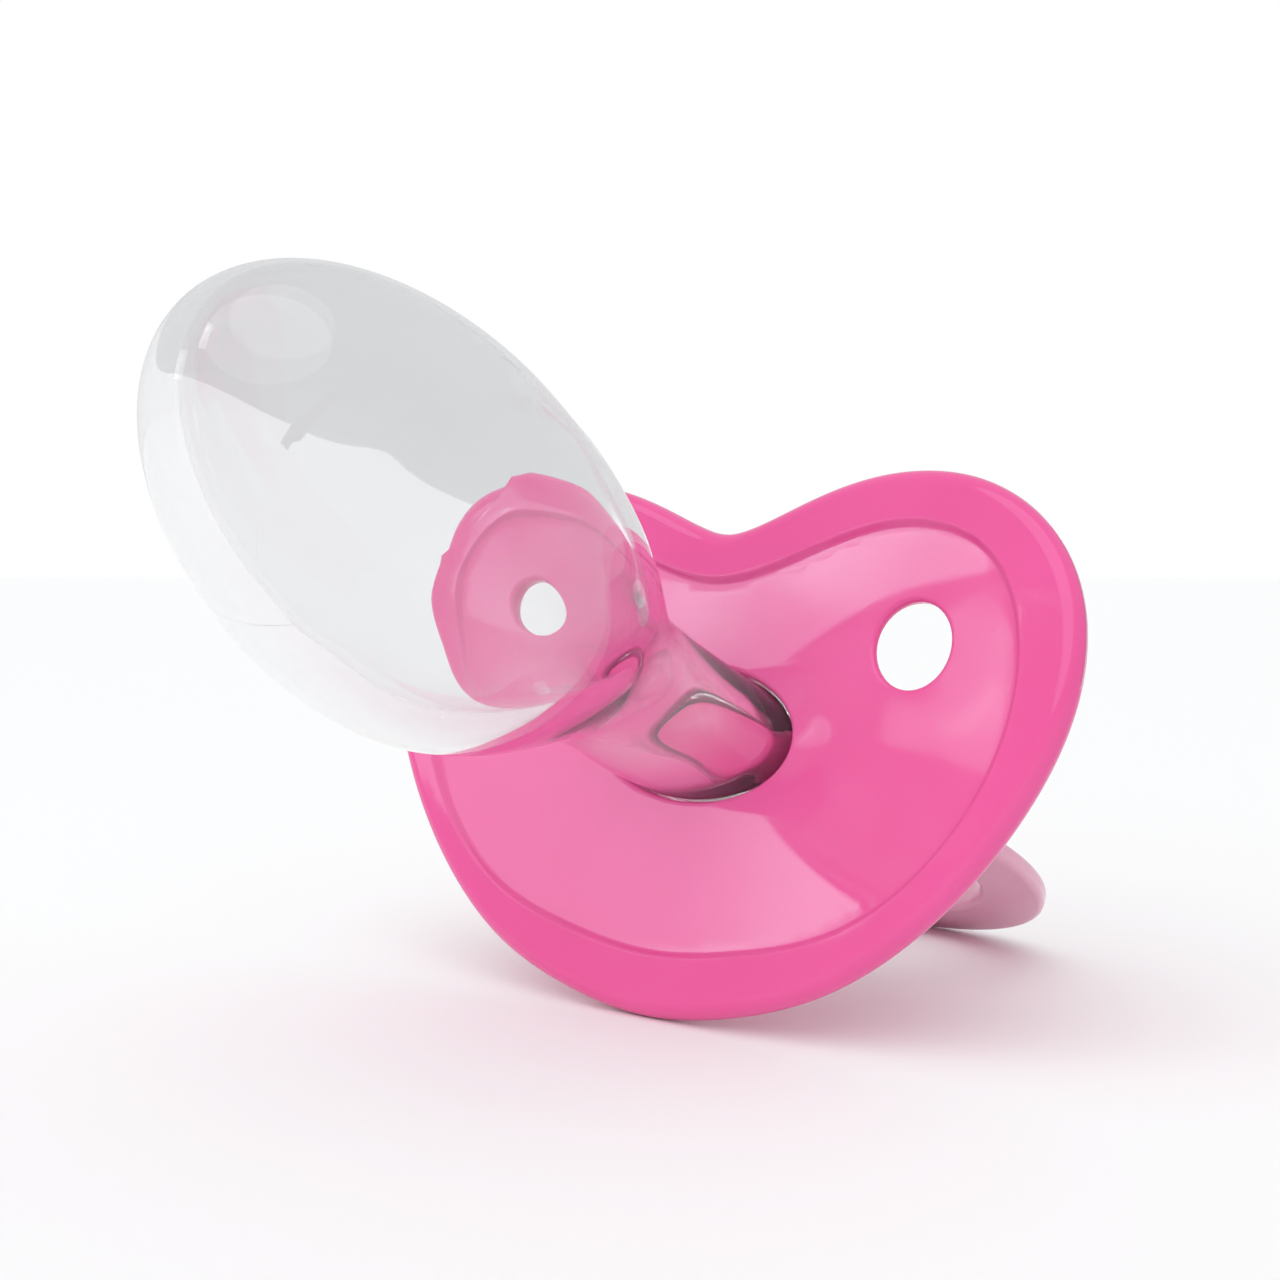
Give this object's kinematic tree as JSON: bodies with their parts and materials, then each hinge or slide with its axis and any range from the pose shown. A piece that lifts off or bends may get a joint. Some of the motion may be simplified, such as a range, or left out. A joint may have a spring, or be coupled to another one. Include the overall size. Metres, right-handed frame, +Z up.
{
  "type": "pacifier",
  "caption": "Baby pacifier with a dished heart-shaped guard, vent holes, a hollow clear teat on an oval neck and a swinging ring handle on a rear cap.",
  "frame": {"origin": "on the floor, under the middle of the whole pacifier's box, with the pacifier standing on its lower rim and the end of its ring", "axes": "+Z up, +X across the guard to the left hand of a baby that wears it, -Y forwards where the teat points"},
  "size_m": [0.0496, 0.066, 0.0402],
  "materials": {
    "guard_plastic": "gloss",
    "teat_silicone": "clear, glossy",
    "plug_plastic": "gloss",
    "cap_plastic": "gloss",
    "ring_plastic": "gloss"
  },
  "bodies": {
    "soother": {"guard": "guard_plastic", "teat": "teat_silicone", "teat_plug": "plug_plastic", "rear_cap": "cap_plastic"},
    "ring": {"ring_handle": "ring_plastic"}
  },
  "joints": [
    {"name": "ring_swing", "type": "hinge", "parent": "soother", "child": "ring", "pos_m": [0, 0.01067, 0.01348], "axis": [1, 0, 0], "range_deg": [-77, 103]}
  ]
}
